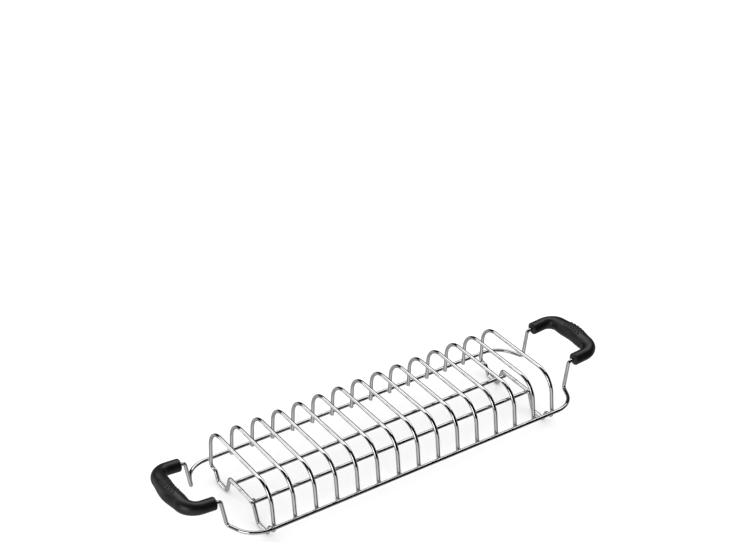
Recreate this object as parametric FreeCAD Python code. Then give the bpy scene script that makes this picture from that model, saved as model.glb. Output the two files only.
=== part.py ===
"""Long wire warming rack for bread: fifteen hoops on a rail, with two moulded handles.

Frame: X runs along the rack, Y across it, Z up.  The origin is the middle of the footprint,
on the surface that the four feet stand on.  Millimetres.
"""
import FreeCAD
import Part
import math
import os

from FreeCAD import Vector

# Wire
WIRE = 3.0                    # diameter of every wire
WIRE_R = WIRE / 2
BEND = 3.0                    # centre-line radius of the tight bends
WELD_DEPTH = 0.35             # how far two welded wires sink into each other
CONTACT = WIRE - WELD_DEPTH   # distance between the centre lines of two welded wires

# Hoops
HOOP_COUNT = 15
HOOP_PITCH = 18.5
HOOP_TOP = 48.0               # height of the bar's centre line
HOOP_TOP_HALF = 45.2          # half width at the bar, to the corner of the centre line
HOOP_CORNER = 17.6            # radius of the two upper corners
LEG_HALF = 48.0               # half width at the rail's height: the legs lean inwards
RAIL_HEIGHT = 15.3
LEG_TAIL = 1.6                # how far a leg runs below the rail's centre line

# Lower part of the two end hoops, from the leg in to the raised flat
TURN_HEIGHT = 9.8             # where the leg turns inwards, under the rail
TURN_HALF = 41.2              # where it drops to the foot
FOOT_OUTER_HALF = 37.5
FOOT_INNER_HALF = 23.7
FLAT_HALF = 18.0
FLAT_HEIGHT = 16.7

# Runners
RUNNER_HALF = 14.2            # distance of each runner from the middle

# Rail ends
RAIL_HALF = LEG_HALF + CONTACT
RAIL_END = 157.7              # where the rail turns up towards the handle
RAIL_TURN = 68.0              # degrees that each corner of the rail turns
RAIL_CORNER = 22.5            # its radius
RISER_HALF = 27.6             # distance of each riser from the middle
RISER_LEAN = 4.0              # how far a riser leans outwards over its height
RISER_HEIGHT = 23.8

# Handles
HANDLE_TILT = 4.5             # degrees, rising outwards
HANDLE_GAP = 4.4              # wire showing between the riser's corner and the handle
HANDLE_DEPTH = 22.0           # end face to the centre line of the bar's corners
HANDLE_CORNER = 11.0
HANDLE_STRAIGHT = HANDLE_DEPTH - HANDLE_CORNER
HANDLE_BOW = 1.5              # how far the middle of the bar bulges past its corners
HANDLE_LEG_R = 5.2
HANDLE_BAR_R = 7.0            # in the middle of the bar
HANDLE_END_ROUND = 1.4
SOCKET_DEPTH = 10.0           # how far a wire runs into the handle
STATIONS_PER_CORNER = 7
STATIONS_ALONG_BAR = 13


def corner_arc(before, corner, after, radius):
    """The arc of this radius that rounds a corner, with its two tangent points."""
    arriving = (before - corner).normalize()
    leaving = (after - corner).normalize()
    half_angle = arriving.getAngle(leaving) / 2
    tangent = radius / math.tan(half_angle)
    start = corner + arriving * tangent
    end = corner + leaving * tangent
    bisector = (arriving + leaving).normalize()
    middle = corner + bisector * (radius / math.sin(half_angle) - radius)
    return start, end, Part.Arc(start, middle, end)


def bent_wire(corners, radii):
    """A wire of the standard diameter along straight runs joined by tangent arcs."""
    edges = []
    here = corners[0]
    for index, radius in enumerate(radii, start=1):
        start, end, arc = corner_arc(corners[index - 1], corners[index], corners[index + 1], radius)
        if here.distanceToPoint(start) > 1e-6:
            edges.append(Part.LineSegment(here, start).toShape())
        edges.append(arc.toShape())
        here = end
    if here.distanceToPoint(corners[-1]) > 1e-6:
        edges.append(Part.LineSegment(here, corners[-1]).toShape())
    section = Part.Circle(corners[0], corners[1] - corners[0], WIRE_R).toShape()
    return Part.Wire(edges).makePipe(Part.Face(Part.Wire(section)))


def leg_half_at(height):
    """Half width of a hoop's centre line at a height on its leaning legs."""
    lean = (HOOP_TOP_HALF - LEG_HALF) / (HOOP_TOP - RAIL_HEIGHT)
    return LEG_HALF + lean * (height - RAIL_HEIGHT)


def hoop(x):
    """An open hoop: a flat bar with two leaning legs that end just under the rail."""
    foot = RAIL_HEIGHT - LEG_TAIL
    corners = [
        Vector(x, -leg_half_at(foot), foot),
        Vector(x, -HOOP_TOP_HALF, HOOP_TOP),
        Vector(x, HOOP_TOP_HALF, HOOP_TOP),
        Vector(x, leg_half_at(foot), foot),
    ]
    return bent_wire(corners, [HOOP_CORNER, HOOP_CORNER])


def end_hoop(x):
    """A closed hoop: under the rail each leg turns in, drops to a foot and rises to a flat."""
    half_corners = [
        Vector(x, 0, HOOP_TOP),
        Vector(x, HOOP_TOP_HALF, HOOP_TOP),
        Vector(x, leg_half_at(TURN_HEIGHT), TURN_HEIGHT),
        Vector(x, TURN_HALF, TURN_HEIGHT),
        Vector(x, FOOT_OUTER_HALF, WIRE_R),
        Vector(x, FOOT_INNER_HALF, WIRE_R),
        Vector(x, FLAT_HALF, FLAT_HEIGHT),
        Vector(x, 0, FLAT_HEIGHT),
    ]
    rear = bent_wire(half_corners, [HOOP_CORNER, BEND, BEND, BEND, BEND, BEND])
    front = rear.mirror(Vector(0, 0, 0), Vector(0, 1, 0))
    return rear.fuse(front).removeSplitter().Solids[0]


def runner(side):
    """A straight wire under the flats of the two end hoops."""
    reach = HOOP_PITCH * (HOOP_COUNT - 1) / 2
    start = Vector(-reach, side * RUNNER_HALF, FLAT_HEIGHT - CONTACT)
    return Part.makeCylinder(WIRE_R, 2 * reach, start, Vector(1, 0, 0))


def handle_direction(end):
    tilt = math.radians(HANDLE_TILT)
    return Vector(end * math.cos(tilt), 0, math.sin(tilt))


def riser_corner(end, side):
    """Where a riser turns outwards to the handle."""
    return Vector(end * (RAIL_END + RISER_LEAN), side * RISER_HALF, RAIL_HEIGHT + RISER_HEIGHT)


def rail(side):
    """One long side of the rail, with both of its risers and the wire inside the handles."""
    ends = {}
    corner_inset = (RAIL_HALF - RISER_HALF) / math.tan(math.radians(RAIL_TURN))
    for end in (-1, 1):
        top = riser_corner(end, side)
        ends[end] = [
            Vector(end * (RAIL_END - corner_inset), side * RAIL_HALF, RAIL_HEIGHT),
            Vector(end * RAIL_END, side * RISER_HALF, RAIL_HEIGHT),
            top,
            top + handle_direction(end) * (HANDLE_GAP + SOCKET_DEPTH),
        ]
    corners = ends[-1][::-1] + ends[1]
    radii = [BEND, BEND, RAIL_CORNER, RAIL_CORNER, BEND, BEND]
    return bent_wire(corners, radii)


def bar_line():
    """Centre line of a handle between its two straight legs, as (outward, across) points."""
    inner_half = RISER_HALF - HANDLE_CORNER
    corner = []
    for step in range(STATIONS_PER_CORNER):
        turn = math.pi / 2 * step / STATIONS_PER_CORNER
        outward = HANDLE_STRAIGHT + HANDLE_CORNER * math.sin(turn)
        corner.append((outward, inner_half + HANDLE_CORNER * math.cos(turn)))
    bar = []
    for step in range(STATIONS_ALONG_BAR):
        across = inner_half * (1 - 2 * step / (STATIONS_ALONG_BAR - 1))
        bulge = HANDLE_BOW * math.cos(math.pi / 2 * across / inner_half) ** 2
        bar.append((HANDLE_DEPTH + bulge, across))
    return corner + bar + [(outward, -across) for outward, across in reversed(corner)]


def bar_radius(across):
    """Radius of the handle, growing from its legs to the middle of the bar."""
    growth = 1 - (across / RISER_HALF) ** 2
    return HANDLE_LEG_R + (HANDLE_BAR_R - HANDLE_LEG_R) * growth


def handle_bar(base, out):
    """The bar and both corners, as one smooth skin over circular sections."""
    line = bar_line()
    sections = []
    upwards = out.cross(Vector(0, 1, 0))
    for index, (outward, across) in enumerate(line):
        if index == 0:
            along = out
        elif index == len(line) - 1:
            along = out * -1
        else:
            before = line[index - 1]
            after = line[index + 1]
            along = out * (after[0] - before[0]) + Vector(0, after[1] - before[1], 0)
        centre = base + out * outward + Vector(0, across, 0)
        turn = FreeCAD.Rotation(upwards, along.cross(upwards), along, "ZXY")
        circle = Part.makeCircle(bar_radius(across))
        circle.Placement = FreeCAD.Placement(centre, turn)
        sections.append(Part.Wire(circle))
    return Part.makeLoft(sections, True, False)


def handle_leg(mouth, out):
    """A straight leg of the handle, rounded where the wire enters it."""
    leg = Part.makeCylinder(HANDLE_LEG_R, HANDLE_STRAIGHT, mouth, out)
    rim = [edge for edge in leg.Edges if edge.Closed and edge.CenterOfMass.isEqual(mouth, 1e-6)]
    return leg.makeFillet(HANDLE_END_ROUND, rim)


def handle(end):
    """A moulded U-shaped grip on the two wire ends, with a blind socket in each leg."""
    out = handle_direction(end)
    base = riser_corner(end, 0) + out * HANDLE_GAP
    grip = handle_bar(base, out)
    for side in (-1, 1):
        mouth = base + Vector(0, side * RISER_HALF, 0)
        grip = grip.fuse(handle_leg(mouth, out))
    for side in (-1, 1):
        mouth = base + Vector(0, side * RISER_HALF, 0)
        grip = grip.cut(Part.makeCylinder(WIRE_R, SOCKET_DEPTH, mouth, out))
    return grip.Solids[0]


def build_nodes():
    nodes = {
        "rail_front": rail(-1),
        "rail_rear": rail(1),
        "runner_front": runner(-1),
        "runner_rear": runner(1),
        "handle_left": handle(-1),
        "handle_right": handle(1),
    }
    for number in range(1, HOOP_COUNT + 1):
        x = HOOP_PITCH * (number - (HOOP_COUNT + 1) / 2)
        if number == 1:
            nodes["end_hoop_left"] = end_hoop(x)
        elif number == HOOP_COUNT:
            nodes["end_hoop_right"] = end_hoop(x)
        else:
            nodes[f"hoop_{number:02d}"] = hoop(x)
    return nodes


def main():
    os.makedirs("parts", exist_ok=True)
    for name, shape in build_nodes().items():
        shape.exportStep(f"parts/{name}.step")
        box = shape.optimalBoundingBox(True, False)
        print(name, shape.ShapeType, shape.isValid(), round(shape.Volume, 1),
              [round(v, 2) for v in (box.XMin, box.YMin, box.ZMin, box.XMax, box.YMax, box.ZMax)])


main()
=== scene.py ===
import math

import bmesh
import bpy
from mathutils import Matrix, Vector, noise


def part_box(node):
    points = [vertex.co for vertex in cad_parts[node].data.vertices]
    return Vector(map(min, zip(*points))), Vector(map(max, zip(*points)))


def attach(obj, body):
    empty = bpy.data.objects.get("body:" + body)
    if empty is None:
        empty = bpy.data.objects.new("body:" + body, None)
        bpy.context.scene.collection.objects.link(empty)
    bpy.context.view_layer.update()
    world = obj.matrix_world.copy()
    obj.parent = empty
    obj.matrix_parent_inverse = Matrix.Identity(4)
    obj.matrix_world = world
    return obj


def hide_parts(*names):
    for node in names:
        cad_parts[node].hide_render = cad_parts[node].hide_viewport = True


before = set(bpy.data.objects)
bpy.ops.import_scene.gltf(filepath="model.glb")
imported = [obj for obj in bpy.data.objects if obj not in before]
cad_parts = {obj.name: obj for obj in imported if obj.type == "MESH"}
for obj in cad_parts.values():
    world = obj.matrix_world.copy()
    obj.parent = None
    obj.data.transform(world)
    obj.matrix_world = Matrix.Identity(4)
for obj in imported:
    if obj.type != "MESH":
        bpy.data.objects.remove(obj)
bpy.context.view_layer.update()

MM = 0.001

# Wire, as in the frame
WIRE_R = 1.5 * MM
BEND = 3.0 * MM
CONTACT = 2.65 * MM           # distance between the centre lines of two welded wires
SIDES = 28                    # faces round a wire
RUN_STEP = 6.0 * MM           # longest stretch of a straight run without a ring
ARC_STEP = math.radians(6)
CUT_ROUND = 0.35 * MM         # rounding of a cut wire end

# Hoops
HOOP_COUNT = 15
HOOP_TOP_HALF = 45.2 * MM
HOOP_CORNER = 17.6 * MM
LEG_HALF = 48.0 * MM
LEG_TAIL = 1.6 * MM
TURN_HEIGHT = 9.8 * MM
TURN_HALF = 41.2 * MM
FOOT_OUTER_HALF = 37.5 * MM
FOOT_INNER_HALF = 23.7 * MM
FLAT_HALF = 18.0 * MM
FLAT_HEIGHT = 16.7 * MM

# Rail ends
RAIL_END = 157.7 * MM
RAIL_TURN = math.radians(68)
RAIL_CORNER = 22.5 * MM
RISER_LEAN = 4.0 * MM
RISER_HEIGHT = 23.8 * MM

# Grips
GRIP_TILT = math.radians(4.5)
GRIP_GAP = 4.4 * MM
GRIP_DEPTH = 22.0 * MM
GRIP_CORNER = 11.0 * MM
GRIP_BOW = 1.5 * MM
GRIP_LEG_R = 5.2 * MM
GRIP_BAR_R = 7.0 * MM
GRIP_END_ROUND = 1.4 * MM
SOCKET_DEPTH = 10.0 * MM
SOCKET_R = 1.53 * MM
SOCKET_FLARE = 0.35 * MM
SOCKET_SPARE = 0.2 * MM       # room past the end of the wire
NUB_PITCH = 3.5 * MM
NUB_ROW_TURN = math.radians(18)
NUB_ROWS = (5, 6, 5, 6, 5)
NUB_R = 1.05 * MM
NUB_HEIGHT = 0.6 * MM
SEAM_HEIGHT = 0.05 * MM
SEAM_HALF = 0.12 * MM
SEAM_TURNS = (math.pi / 2, 3 * math.pi / 2)   # the mould parts at the two sides of the grip

# Welds
RAIL_BEAD = 1.9 * MM          # size of the lump where a hoop meets the rail
RUNNER_BEAD = 1.5 * MM        # and where a runner meets an end hoop
BEAD_FLATNESS = 0.62
BEAD_WOBBLE = 0.16
BUTT_RING_R = 0.24 * MM       # half thickness of the collar at a butt weld
BUTT_WOBBLE = 0.25
FLASH_INWARD = 2.7 * MM       # metal squeezed up beside the flat, at the front runner's left end
FLASH_RISE = 2.3 * MM

# Camera, about the middle of the rack at the rail's height: degrees, metres, lens in mm
AZIMUTH = -32.6
ELEVATION = 31.15
ROLL = -0.9
DISTANCE = 1.42
AIM_RIGHT = -0.0133
AIM_UP = 0.1295
LENS = 88.1
SENSOR_WIDTH = 36

# Studio, laid out from the photographer's side: soft boxes in a dark room, over a white sheet
PHOTOGRAPHER = AZIMUTH + 270  # direction from the rack to the camera
BOX_DISTANCE = 1.6
BACKDROP = 1.0
AMBIENT = 1.4
SHEET_LEVEL = 0.5             # brightness of the sheet all round, as the chrome reflects it
SHEET_FRONT = 0.5             # brighter than that between the rack and the camera
SHEET_REAR = -0.4             # in shade behind the rack
SHEET_EDGE = -0.7             # the dark room, past the sheet's right-hand edge
SHEET_REACH = 3.0
SHEET_COLOR = (0.92, 0.92, 0.92, 1)

# Places read from the frame
rail_low, rail_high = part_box("rail_rear")
runner_low, runner_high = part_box("runner_rear")
hoop_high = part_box("hoop_08")[1]
RAIL_HEIGHT = rail_low.z + WIRE_R
RAIL_HALF = rail_high.y - WIRE_R
RISER_HALF = rail_low.y + WIRE_R
RUNNER_HALF = (runner_low.y + runner_high.y) / 2
RUNNER_HEIGHT = (runner_low.z + runner_high.z) / 2
RUNNER_REACH = runner_high.x
HOOP_TOP = hoop_high.z - WIRE_R
HOOP_PITCH = 2 * RUNNER_REACH / (HOOP_COUNT - 1)


# ---------------------------------------------------------------- camera and studio

def camera_axes():
    """Right, up and backward directions of the camera, after its slight roll."""
    azimuth = math.radians(AZIMUTH)
    elevation = math.radians(ELEVATION)
    right = Vector((math.cos(azimuth), math.sin(azimuth), 0))
    back = Vector((
        math.sin(azimuth) * math.cos(elevation),
        -math.cos(azimuth) * math.cos(elevation),
        math.sin(elevation),
    ))
    roll = Matrix.Rotation(math.radians(ROLL), 3, back)
    return roll @ right, roll @ back.cross(right), back


def add_camera():
    right, up, back = camera_axes()
    pivot = Vector((0, 0, RAIL_HEIGHT))
    data = bpy.data.cameras.new("camera")
    data.lens = LENS
    data.sensor_width = SENSOR_WIDTH
    data.clip_start = 0.05
    data.clip_end = 50
    camera = bpy.data.objects.new("camera", data)
    rotation = Matrix((right, up, back)).transposed().to_4x4()
    place = pivot + right * AIM_RIGHT + up * AIM_UP + back * DISTANCE
    camera.matrix_world = Matrix.Translation(place) @ rotation
    bpy.context.collection.objects.link(camera)
    bpy.context.scene.camera = camera


def add_floor():
    """A plain white sheet. The chrome doesn't reflect it: the world stands in for it there."""
    mesh = bpy.data.meshes.new("floor")
    signs = ((-1, -1), (1, -1), (1, 1), (-1, 1))
    mesh.from_pydata([(x * SHEET_REACH, y * SHEET_REACH, 0) for x, y in signs], [], [(0, 1, 2, 3)])
    floor = bpy.data.objects.new("floor", mesh)
    bpy.context.collection.objects.link(floor)
    floor.visible_glossy = False
    material = bpy.data.materials.new("white_paper")
    material.use_nodes = True
    shader = material.node_tree.nodes["Principled BSDF"]
    shader.inputs["Base Color"].default_value = SHEET_COLOR
    shader.inputs["Roughness"].default_value = 0.9
    shader.inputs["Specular IOR Level"].default_value = 0.0
    mesh.materials.append(material)


def towards(azimuth, elevation):
    azimuth = math.radians(azimuth)
    elevation = math.radians(elevation)
    return Vector((
        math.cos(azimuth) * math.cos(elevation),
        math.sin(azimuth) * math.cos(elevation),
        math.sin(elevation),
    ))


def soft_box(name, azimuth, elevation, width, height, radiance):
    """A rectangular soft light facing the middle of the rack, seen in reflections only."""
    data = bpy.data.lights.new(name, "AREA")
    data.shape = "RECTANGLE"
    data.size = width
    data.size_y = height
    data.energy = radiance * math.pi * width * height
    back = towards(azimuth, elevation)
    right = Vector((-back.y, back.x, 0)).normalized()
    up = back.cross(right)
    rotation = Matrix((right, up, back)).transposed().to_4x4()
    light = bpy.data.objects.new(name, data)
    light.matrix_world = Matrix.Translation(back * BOX_DISTANCE) @ rotation
    light.visible_camera = False
    light.visible_diffuse = False
    bpy.context.collection.objects.link(light)


def add_world():
    """Plain white for the camera, an even fill for matt surfaces, and the studio for gloss.

    Gloss sees the white sheet below the horizon, with its lighter and darker patches, and a dark
    room above it.
    """
    world = bpy.data.worlds.new("studio")
    bpy.context.scene.world = world
    world.use_nodes = True
    nodes = world.node_tree.nodes
    links = world.node_tree.links

    def math_node(operation, first, second):
        node = nodes.new("ShaderNodeMath")
        node.operation = operation
        for socket, value in zip(node.inputs, (first, second)):
            if isinstance(value, bpy.types.NodeSocket):
                links.new(value, socket)
            else:
                socket.default_value = value
        return node.outputs[0]

    def patch(azimuth, drop, sharpness, gain):
        """A soft-edged lighter or darker patch of the sheet, this far below the horizon."""
        node = nodes.new("ShaderNodeVectorMath")
        node.operation = "DOT_PRODUCT"
        links.new(direction, node.inputs[0])
        node.inputs[1].default_value = towards(azimuth, -drop)
        away = math_node("SUBTRACT", node.outputs["Value"], 1.0)
        fading = math_node("EXPONENT", math_node("MULTIPLY", away, sharpness), 0.0)
        return math_node("MULTIPLY", fading, gain)

    def mixed(factor, first, second):
        node = nodes.new("ShaderNodeMix")
        links.new(factor, node.inputs["Factor"])
        for socket, value in ((node.inputs["A"], first), (node.inputs["B"], second)):
            if isinstance(value, bpy.types.NodeSocket):
                links.new(value, socket)
            else:
                socket.default_value = value
        return node.outputs["Result"]

    direction = nodes.new("ShaderNodeTexCoord").outputs["Generated"]
    split = nodes.new("ShaderNodeSeparateXYZ")
    links.new(direction, split.inputs[0])
    below = math_node("LESS_THAN", split.outputs["Z"], 0.0)
    front = patch(PHOTOGRAPHER, drop=25, sharpness=5, gain=SHEET_FRONT)
    right = patch(PHOTOGRAPHER + 75, drop=10, sharpness=8, gain=SHEET_EDGE)
    rear = patch(PHOTOGRAPHER + 180, drop=40, sharpness=10, gain=SHEET_REAR)
    sheet = math_node("ADD", front, SHEET_LEVEL)
    for shade in (right, rear):
        sheet = math_node("ADD", sheet, shade)
    sheet = math_node("MAXIMUM", sheet, 0.0)
    reflected = mixed(below, 0.0, sheet)
    path = nodes.new("ShaderNodeLightPath")
    unlit = mixed(path.outputs["Is Diffuse Ray"], reflected, AMBIENT)
    seen = mixed(path.outputs["Is Camera Ray"], unlit, BACKDROP)
    links.new(seen, nodes["Background"].inputs["Color"])


# ---------------------------------------------------------------- materials

def new_material(name):
    material = bpy.data.materials.new(name)
    material.use_nodes = True
    tree = material.node_tree
    return material, tree.nodes, tree.links, tree.nodes["Principled BSDF"]


def noise_node(nodes, links, vector, scale, detail, rough):
    node = nodes.new("ShaderNodeTexNoise")
    node.inputs["Scale"].default_value = scale
    node.inputs["Detail"].default_value = detail
    node.inputs["Roughness"].default_value = rough
    links.new(vector, node.inputs["Vector"])
    return node.outputs["Fac"]


def ramp_node(nodes, links, factor, stops):
    node = nodes.new("ShaderNodeValToRGB")
    links.new(factor, node.inputs["Fac"])
    elements = node.color_ramp.elements
    elements[0].position, elements[0].color = stops[0][0], (*stops[0][1], 1)
    elements[1].position, elements[1].color = stops[-1][0], (*stops[-1][1], 1)
    for position, color in stops[1:-1]:
        elements.new(position).color = (*color, 1)
    return node.outputs["Color"]


def range_node(nodes, links, value, source, target):
    node = nodes.new("ShaderNodeMapRange")
    links.new(value, node.inputs["Value"])
    node.inputs["From Min"].default_value, node.inputs["From Max"].default_value = source
    node.inputs["To Min"].default_value, node.inputs["To Max"].default_value = target
    return node.outputs["Result"]


def sum_node(nodes, links, first, second):
    node = nodes.new("ShaderNodeMath")
    node.operation = "ADD"
    links.new(first, node.inputs[0])
    links.new(second, node.inputs[1])
    return node.outputs[0]


def add_bump(nodes, links, shader, height, strength, depth):
    bump = nodes.new("ShaderNodeBump")
    bump.inputs["Strength"].default_value = strength
    bump.inputs["Distance"].default_value = depth
    links.new(height, bump.inputs["Height"])
    links.new(bump.outputs["Normal"], shader.inputs["Normal"])


def bright_wire():
    """Bright nickel-chrome on drawn wire: faint lines along the wire, smears and a few pits."""
    material, nodes, links, shader = new_material("bright_wire_chrome")
    shader.inputs["Metallic"].default_value = 1.0
    place = nodes.new("ShaderNodeTexCoord")
    along = nodes.new("ShaderNodeMapping")
    along.inputs["Scale"].default_value = (40, 2600, 1)
    links.new(place.outputs["UV"], along.inputs["Vector"])
    lines = noise_node(nodes, links, along.outputs["Vector"], scale=1.0, detail=4.0, rough=0.6)
    smears = noise_node(nodes, links, place.outputs["Object"], scale=55.0, detail=4.0, rough=0.6)
    pits = noise_node(nodes, links, place.outputs["Object"], scale=900.0, detail=2.0, rough=0.5)
    tone = ramp_node(nodes, links, smears, [
        (0.25, (0.50, 0.505, 0.51)), (0.5, (0.55, 0.555, 0.56)), (0.8, (0.60, 0.60, 0.595)),
    ])
    links.new(tone, shader.inputs["Base Color"])
    smeared = range_node(nodes, links, smears, (0.3, 0.75), (0.03, 0.075))
    scored = range_node(nodes, links, lines, (0.45, 0.75), (0.0, 0.03))
    links.new(sum_node(nodes, links, smeared, scored), shader.inputs["Roughness"])
    ridges = range_node(nodes, links, lines, (0.3, 0.7), (0.0, 0.7))
    holes = range_node(nodes, links, pits, (0.68, 0.8), (0.0, -1.0))
    surface = sum_node(nodes, links, ridges, holes)
    add_bump(nodes, links, shader, surface, strength=0.25, depth=0.006 * MM)
    return material


def weld_metal():
    """Plated weld metal: duller and rougher than the wire, a little browned."""
    material, nodes, links, shader = new_material("bright_wire_weld")
    shader.inputs["Metallic"].default_value = 1.0
    place = nodes.new("ShaderNodeTexCoord")
    grain = noise_node(nodes, links, place.outputs["Object"], scale=1600.0, detail=3.0, rough=0.6)
    tone = ramp_node(nodes, links, grain, [
        (0.3, (0.34, 0.335, 0.33)), (0.7, (0.54, 0.54, 0.54)),
    ])
    links.new(tone, shader.inputs["Base Color"])
    links.new(range_node(nodes, links, grain, (0.3, 0.7), (0.18, 0.38)), shader.inputs["Roughness"])
    add_bump(nodes, links, shader, grain, strength=0.5, depth=0.04 * MM)
    return material


def grip_plastic():
    """Satin black moulded plastic: a fine spark-eroded grain, rubbed smoother in places."""
    material, nodes, links, shader = new_material("grip_plastic_satin")
    place = nodes.new("ShaderNodeTexCoord")
    grain = noise_node(nodes, links, place.outputs["Object"], scale=3200.0, detail=2.0, rough=0.5)
    rub = noise_node(nodes, links, place.outputs["Object"], scale=70.0, detail=4.0, rough=0.6)
    tone = ramp_node(nodes, links, rub, [
        (0.3, (0.0024, 0.0024, 0.0026)), (0.75, (0.0042, 0.0042, 0.0044)),
    ])
    links.new(tone, shader.inputs["Base Color"])
    links.new(range_node(nodes, links, rub, (0.3, 0.7), (0.43, 0.34)), shader.inputs["Roughness"])
    shader.inputs["Specular IOR Level"].default_value = 0.45
    add_bump(nodes, links, shader, grain, strength=0.35, depth=0.03 * MM)
    return material


# ---------------------------------------------------------------- centre lines

def straight_points(start, end):
    """Points after start up to end, no further apart than the longest step."""
    steps = max(1, math.ceil((end - start).length / RUN_STEP))
    return [start.lerp(end, step / steps) for step in range(1, steps + 1)]


def rounded_path(corners, radii):
    """Points along straight runs joined by tangent arcs."""
    points = [corners[0]]
    for index, radius in enumerate(radii, start=1):
        corner = corners[index]
        arriving = (corners[index - 1] - corner).normalized()
        leaving = (corners[index + 1] - corner).normalized()
        half_angle = arriving.angle(leaving) / 2
        start = corner + arriving * (radius / math.tan(half_angle))
        end = corner + leaving * (radius / math.tan(half_angle))
        centre = corner + (arriving + leaving).normalized() * (radius / math.sin(half_angle))
        if (start - points[-1]).length > 1e-6:
            points += straight_points(points[-1], start)
        steps = math.ceil((math.pi - 2 * half_angle) / ARC_STEP)
        first = (start - centre).normalized()
        last = (end - centre).normalized()
        for step in range(1, steps + 1):
            points.append(centre + first.slerp(last, step / steps) * radius)
    if (corners[-1] - points[-1]).length > 1e-6:
        points += straight_points(points[-1], corners[-1])
    return points


def round_cut_ends(points):
    """The line with extra rings at both ends, and each ring's radius, for softly rounded cuts."""
    radii = [WIRE_R] * len(points)
    for _ in range(2):            # one end and then, turned round, the other
        points.reverse()
        radii.reverse()
        tip = points[-1]
        inward = (points[-2] - tip).normalized()
        points.pop()
        radii.pop()
        for degrees in (90, 60, 30, 0):
            turn = math.radians(degrees)
            points.append(tip + inward * CUT_ROUND * (1 - math.cos(turn)))
            radii.append(WIRE_R - CUT_ROUND * (1 - math.sin(turn)))
    return points, radii


# ---------------------------------------------------------------- meshes

def link_piece(name, mesh, material, replaced=()):
    for face in mesh.polygons:
        face.use_smooth = True
    mesh.materials.append(material)
    piece = bpy.data.objects.new(name, mesh)
    bpy.context.collection.objects.link(piece)
    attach(piece, "root")
    if replaced:
        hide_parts(*replaced)


def ring_frames(points, closed):
    """A sideways and an upright direction at each point, carried along the line without twist."""
    count = len(points)
    alongs = []
    for index in range(count):
        before = points[index - 1] if closed or index else points[0]
        after = points[(index + 1) % count] if closed or index < count - 1 else points[-1]
        alongs.append((after - before).normalized())
    side = alongs[0].orthogonal().normalized()
    frames = []
    for index, along in enumerate(alongs):
        if index:
            side = alongs[index - 1].rotation_difference(along) @ side
            side = (side - along * side.dot(along)).normalized()
        frames.append((side, along.cross(side)))
    return frames


def tube(bm, points, radii, closed=False, sides=SIDES):
    """Adds a round tube with a UV of length along it and length round it, in metres."""
    uv = bm.loops.layers.uv.verify()
    rings = []
    for centre, radius, (side, upright) in zip(points, radii, ring_frames(points, closed)):
        ring = []
        for step in range(sides):
            turn = 2 * math.pi * step / sides
            outwards = side * math.cos(turn) + upright * math.sin(turn)
            ring.append(bm.verts.new(centre + outwards * radius))
        rings.append(ring)
    reached = [0.0]
    for before, after in zip(points, points[1:] + points[:1]):
        reached.append(reached[-1] + (after - before).length)
    spans = len(points) if closed else len(points) - 1
    for index in range(spans):
        here = rings[index]
        there = rings[(index + 1) % len(rings)]
        for step in range(sides):
            step_on = (step + 1) % sides
            face = bm.faces.new((here[step], here[step_on], there[step_on], there[step]))
            girth = 2 * math.pi * WIRE_R / sides
            places = (
                (reached[index], step * girth),
                (reached[index], (step + 1) * girth),
                (reached[index + 1], (step + 1) * girth),
                (reached[index + 1], step * girth),
            )
            for loop, place in zip(face.loops, places):
                loop[uv].uv = place
    if not closed:
        for ring, tip in ((rings[0], points[0]), (rings[-1], points[-1])):
            middle = bm.verts.new(tip)
            for step in range(sides):
                pair = (ring[step], ring[(step + 1) % sides])
                if ring is rings[0]:
                    pair = pair[::-1]
                bm.faces.new((*pair, middle))


def finished_mesh(name, bm):
    bmesh.ops.recalc_face_normals(bm, faces=bm.faces)
    mesh = bpy.data.meshes.new(name)
    bm.to_mesh(mesh)
    bm.free()
    return mesh


def open_wire(name, points, material, node):
    points, radii = round_cut_ends(points)
    bm = bmesh.new()
    tube(bm, points, radii)
    link_piece(name, finished_mesh(name, bm), material, (node,))


def closed_wire(name, points, material, node):
    bm = bmesh.new()
    tube(bm, points, [WIRE_R] * len(points), closed=True)
    link_piece(name, finished_mesh(name, bm), material, (node,))


# ---------------------------------------------------------------- wires

def leg_half_at(height):
    lean = (HOOP_TOP_HALF - LEG_HALF) / (HOOP_TOP - RAIL_HEIGHT)
    return LEG_HALF + lean * (height - RAIL_HEIGHT)


def hoop_line(x):
    foot = RAIL_HEIGHT - LEG_TAIL
    corners = [
        Vector((x, -leg_half_at(foot), foot)),
        Vector((x, -HOOP_TOP_HALF, HOOP_TOP)),
        Vector((x, HOOP_TOP_HALF, HOOP_TOP)),
        Vector((x, leg_half_at(foot), foot)),
    ]
    return rounded_path(corners, [HOOP_CORNER, HOOP_CORNER])


def end_hoop_line(x):
    """Half of a closed end hoop from the middle of its bar, and then its mirror image."""
    half_corners = [
        Vector((x, 0, HOOP_TOP)),
        Vector((x, HOOP_TOP_HALF, HOOP_TOP)),
        Vector((x, leg_half_at(TURN_HEIGHT), TURN_HEIGHT)),
        Vector((x, TURN_HALF, TURN_HEIGHT)),
        Vector((x, FOOT_OUTER_HALF, WIRE_R)),
        Vector((x, FOOT_INNER_HALF, WIRE_R)),
        Vector((x, FLAT_HALF, FLAT_HEIGHT)),
        Vector((x, 0, FLAT_HEIGHT)),
    ]
    half = rounded_path(half_corners, [HOOP_CORNER] + [BEND] * 5)
    mirrored = [Vector((point.x, -point.y, point.z)) for point in half[-2:0:-1]]
    return half + mirrored


def grip_direction(end):
    return Vector((end * math.cos(GRIP_TILT), 0, math.sin(GRIP_TILT)))


def riser_corner(end, side):
    return Vector((end * (RAIL_END + RISER_LEAN), side * RISER_HALF, RAIL_HEIGHT + RISER_HEIGHT))


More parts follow.
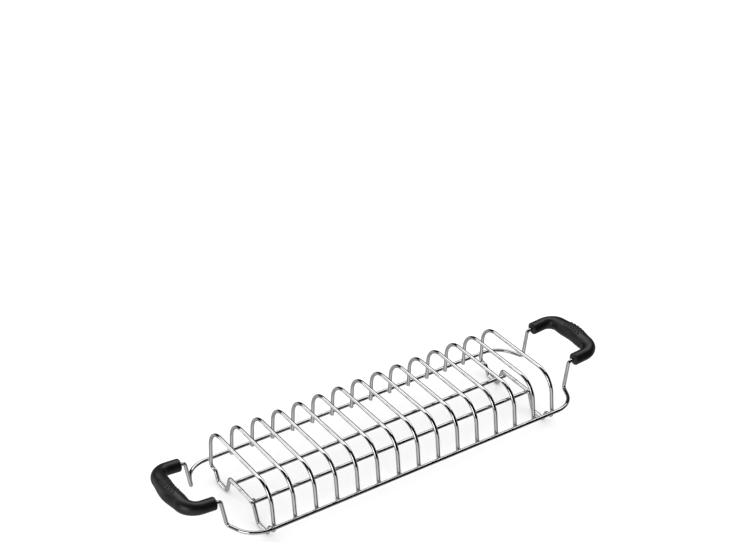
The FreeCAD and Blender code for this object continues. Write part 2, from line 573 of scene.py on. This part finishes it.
def rail_line(side):
    inset = (RAIL_HALF - RISER_HALF) / math.tan(RAIL_TURN)
    ends = {}
    for end in (-1, 1):
        top = riser_corner(end, side)
        ends[end] = [
            Vector((end * (RAIL_END - inset), side * RAIL_HALF, RAIL_HEIGHT)),
            Vector((end * RAIL_END, side * RISER_HALF, RAIL_HEIGHT)),
            top,
            top + grip_direction(end) * (GRIP_GAP + SOCKET_DEPTH),
        ]
    corners = ends[-1][::-1] + ends[1]
    return rounded_path(corners, [BEND, BEND, RAIL_CORNER, RAIL_CORNER, BEND, BEND])


def hoop_x(number):
    return HOOP_PITCH * (number - (HOOP_COUNT + 1) / 2)


def add_wires(material):
    for name, side in (("front", -1), ("rear", 1)):
        open_wire(f"rail_wire_{name}", rail_line(side), material, f"rail_{name}")
        start = Vector((-RUNNER_REACH, side * RUNNER_HALF, RUNNER_HEIGHT))
        end = Vector((RUNNER_REACH, side * RUNNER_HALF, RUNNER_HEIGHT))
        line = rounded_path([start, end], [])
        open_wire(f"runner_wire_{name}", line, material, f"runner_{name}")
    for number in range(2, HOOP_COUNT):
        line = hoop_line(hoop_x(number))
        open_wire(f"hoop_wire_{number:02d}", line, material, f"hoop_{number:02d}")
    for name, number in (("left", 1), ("right", HOOP_COUNT)):
        line = end_hoop_line(hoop_x(number))
        closed_wire(f"end_hoop_wire_{name}", line, material, f"end_hoop_{name}")


# ---------------------------------------------------------------- welds

def bead(bm, centre, across, size, seed):
    """A lump of squeezed-out metal between two crossing wires, flattest across the joint."""
    start = len(bm.verts)
    bmesh.ops.create_icosphere(bm, subdivisions=3, radius=1.0)
    bm.verts.ensure_lookup_table()
    tall = across.normalized()
    for vert in bm.verts[start:]:
        wobble = 1 + BEAD_WOBBLE * noise.noise(vert.co * 1.7 + Vector((seed * 3.1, 0, 0)))
        upright = tall * vert.co.dot(tall)
        flat = vert.co - upright
        vert.co = centre + (flat + upright * BEAD_FLATNESS) * size * wobble


def butt_ring(bm, centre, axis, radius):
    """The raised collar where the two ends of a closed hoop are butt welded."""
    side = axis.orthogonal().normalized()
    upright = axis.cross(side)
    steps = 40
    line = []
    for step in range(steps):
        turn = 2 * math.pi * step / steps
        line.append(centre + (side * math.cos(turn) + upright * math.sin(turn)) * radius)
    sizes = [BUTT_RING_R * (1 + BUTT_WOBBLE * noise.noise(point * 900)) for point in line]
    tube(bm, line, sizes, closed=True, sides=12)


def runner_flash_place():
    """Where weld metal was squeezed up beside the flat, at the front runner's left end."""
    return Vector((-RUNNER_REACH + FLASH_INWARD, -RUNNER_HALF, RUNNER_HEIGHT + FLASH_RISE))


def add_welds(material):
    for name, side in (("front", -1), ("rear", 1)):
        bm = bmesh.new()
        for number in range(1, HOOP_COUNT + 1):
            centre = Vector((hoop_x(number), side * (LEG_HALF + CONTACT / 2), RAIL_HEIGHT))
            bead(bm, centre, Vector((0, 1, 0)), RAIL_BEAD, number * side)
        mesh = finished_mesh(f"rail_welds_{name}", bm)
        link_piece(f"rail_welds_{name}", mesh, material)
        bm = bmesh.new()
        for end in (-1, 1):
            centre = Vector((end * RUNNER_REACH, side * RUNNER_HALF, FLAT_HEIGHT - CONTACT / 2))
            bead(bm, centre, Vector((0, 0, 1)), RUNNER_BEAD, 40 + end * side)
        if side < 0:
            bead(bm, runner_flash_place(), Vector((1, 0, 0.35)), RUNNER_BEAD, 51)
        mesh = finished_mesh(f"runner_welds_{name}", bm)
        link_piece(f"runner_welds_{name}", mesh, material)
    for name, end in (("left", -1), ("right", 1)):
        bm = bmesh.new()
        butt_ring(bm, Vector((end * RUNNER_REACH, 0, FLAT_HEIGHT)), Vector((0, 1, 0)), WIRE_R)
        mesh = finished_mesh(f"butt_weld_{name}", bm)
        link_piece(f"butt_weld_{name}", mesh, material)


# ---------------------------------------------------------------- grips

def grip_stations():
    """The grip's centre line from one mouth to the other, as (outward, across, radius)."""
    straight = GRIP_DEPTH - GRIP_CORNER
    inner_half = RISER_HALF - GRIP_CORNER
    leg = []
    leg_steps = 16
    for step in range(1, leg_steps):
        leg.append((GRIP_END_ROUND + (straight - GRIP_END_ROUND) * step / leg_steps, RISER_HALF))
    corner_steps = 22
    for step in range(corner_steps):
        turn = math.pi / 2 * step / corner_steps
        outward = straight + GRIP_CORNER * math.sin(turn)
        leg.append((outward, inner_half + GRIP_CORNER * math.cos(turn)))
    bar = []
    bar_steps = 132
    for step in range(bar_steps + 1):
        across = inner_half * (1 - 2 * step / bar_steps)
        bulge = GRIP_BOW * math.cos(math.pi / 2 * across / inner_half) ** 2
        bar.append((GRIP_DEPTH + bulge, across))
    line = leg + bar + [(outward, -across) for outward, across in reversed(leg)]
    return [(outward, across, grip_radius(across)) for outward, across in line]


def grip_radius(across):
    growth = 1 - (across / RISER_HALF) ** 2
    return GRIP_LEG_R + (GRIP_BAR_R - GRIP_LEG_R) * growth - SEAM_HEIGHT


def grip_turns():
    """Angles round the grip from its top, close together under the nubs and at the mould seam."""
    top = math.radians(50)
    fine_steps = 60
    fine = [-top + 2 * top * step / fine_steps for step in range(fine_steps + 1)]
    rest = []
    coarse_steps = 50
    for step in range(1, coarse_steps):
        rest.append(top + (2 * math.pi - 2 * top) * step / coarse_steps)
    for seam in SEAM_TURNS:
        rest = [turn for turn in rest if abs(turn - seam) > math.radians(4)]
        rest += [seam + math.radians(offset) for offset in (-3, -1.5, -0.7, 0, 0.7, 1.5, 3)]
    return fine + sorted(rest)


def nub_places():
    places = []
    middle = (len(NUB_ROWS) - 1) / 2
    for row, count in enumerate(NUB_ROWS):
        for index in range(count):
            places.append(((index - (count - 1) / 2) * NUB_PITCH, (row - middle) * NUB_ROW_TURN))
    return places


def relief(across, turn, radius, nubs):
    """Height of the nubs and of the mould seam over the plain surface."""
    height = 0.0
    for nub_across, nub_turn in nubs:
        reach = math.hypot(across - nub_across, (turn - nub_turn) * radius) / NUB_R
        if reach < 1:
            height += NUB_HEIGHT * (1 - reach ** 3) ** 1.5
    for seam in SEAM_TURNS:
        away = (turn - seam) * radius / SEAM_HALF
        height += SEAM_HEIGHT * math.exp(-away * away)
    return height


def mouth_rings():
    """Profile of a leg's end, from the socket's bottom to the rim, as (depth, radius)."""
    bottom = SOCKET_DEPTH + SOCKET_SPARE
    rings = [(depth, SOCKET_R) for depth in (bottom, SOCKET_DEPTH / 2, SOCKET_FLARE)]
    for degrees in (30, 60, 90):
        turn = math.radians(degrees)
        rings.append((
            SOCKET_FLARE * (1 - math.sin(turn)),
            SOCKET_R + SOCKET_FLARE * (1 - math.cos(turn)),
        ))
    rings.append((0.0, (SOCKET_R + SOCKET_FLARE + GRIP_LEG_R - GRIP_END_ROUND) / 2))
    for degrees in (0, 18, 36, 54, 72, 90):
        turn = math.radians(degrees)
        rings.append((
            GRIP_END_ROUND * (1 - math.cos(turn)),
            GRIP_LEG_R - GRIP_END_ROUND * (1 - math.sin(turn)),
        ))
    return rings


def add_grip(name, end, material, node):
    out = grip_direction(end)
    upwards = Vector((-end * math.sin(GRIP_TILT), 0, math.cos(GRIP_TILT)))
    base = riser_corner(end, 0) + out * GRIP_GAP
    sideways = Vector((0, 1, 0))
    turns = grip_turns()
    nubs = nub_places()
    mouth = mouth_rings()
    mouth_count = len(mouth)
    stations = [(depth, RISER_HALF, radius) for depth, radius in mouth]
    stations += grip_stations()
    stations += [(depth, -RISER_HALF, radius) for depth, radius in reversed(mouth)]
    last = len(stations) - 1
    bm = bmesh.new()
    rings = []
    for index, (outward, across, radius) in enumerate(stations):
        if index < mouth_count:
            along = (1.0, 0.0)
        elif index > last - mouth_count:
            along = (-1.0, 0.0)
        else:
            before = stations[index - 1]
            after = stations[index + 1]
            length = math.hypot(after[0] - before[0], after[1] - before[1])
            along = ((after[0] - before[0]) / length, (after[1] - before[1]) / length)
        outer = out * -along[1] + sideways * along[0]
        centre = base + out * outward + sideways * across
        on_skin = mouth_count <= index <= last - mouth_count
        ring = []
        for turn in turns:
            height = relief(across, turn, radius, nubs) if on_skin else 0.0
            outwards = upwards * math.cos(turn) + outer * math.sin(turn)
            ring.append(bm.verts.new(centre + outwards * (radius + height)))
        rings.append(ring)
    for here, there in zip(rings, rings[1:]):
        for step in range(len(turns)):
            step_on = (step + 1) % len(turns)
            bm.faces.new((here[step], here[step_on], there[step_on], there[step]))
    for ring in (rings[0], rings[-1]):
        bm.faces.new(ring)
    link_piece(name, finished_mesh(name, bm), material, (node,))


# ---------------------------------------------------------------- the scene

bpy.context.scene.view_settings.view_transform = "Standard"
add_camera()
add_floor()
add_world()
soft_box("roof", PHOTOGRAPHER + 180, 60, width=2.8, height=0.9, radiance=2.5)
soft_box("side", PHOTOGRAPHER - 40, 15, width=0.9, height=1.0, radiance=3)
soft_box("strip", PHOTOGRAPHER - 100, 15, width=0.3, height=1.6, radiance=2)

add_wires(bright_wire())
add_welds(weld_metal())
plastic = grip_plastic()
for name, end in (("left", -1), ("right", 1)):
    add_grip(f"grip_{name}", end, plastic, f"handle_{name}")
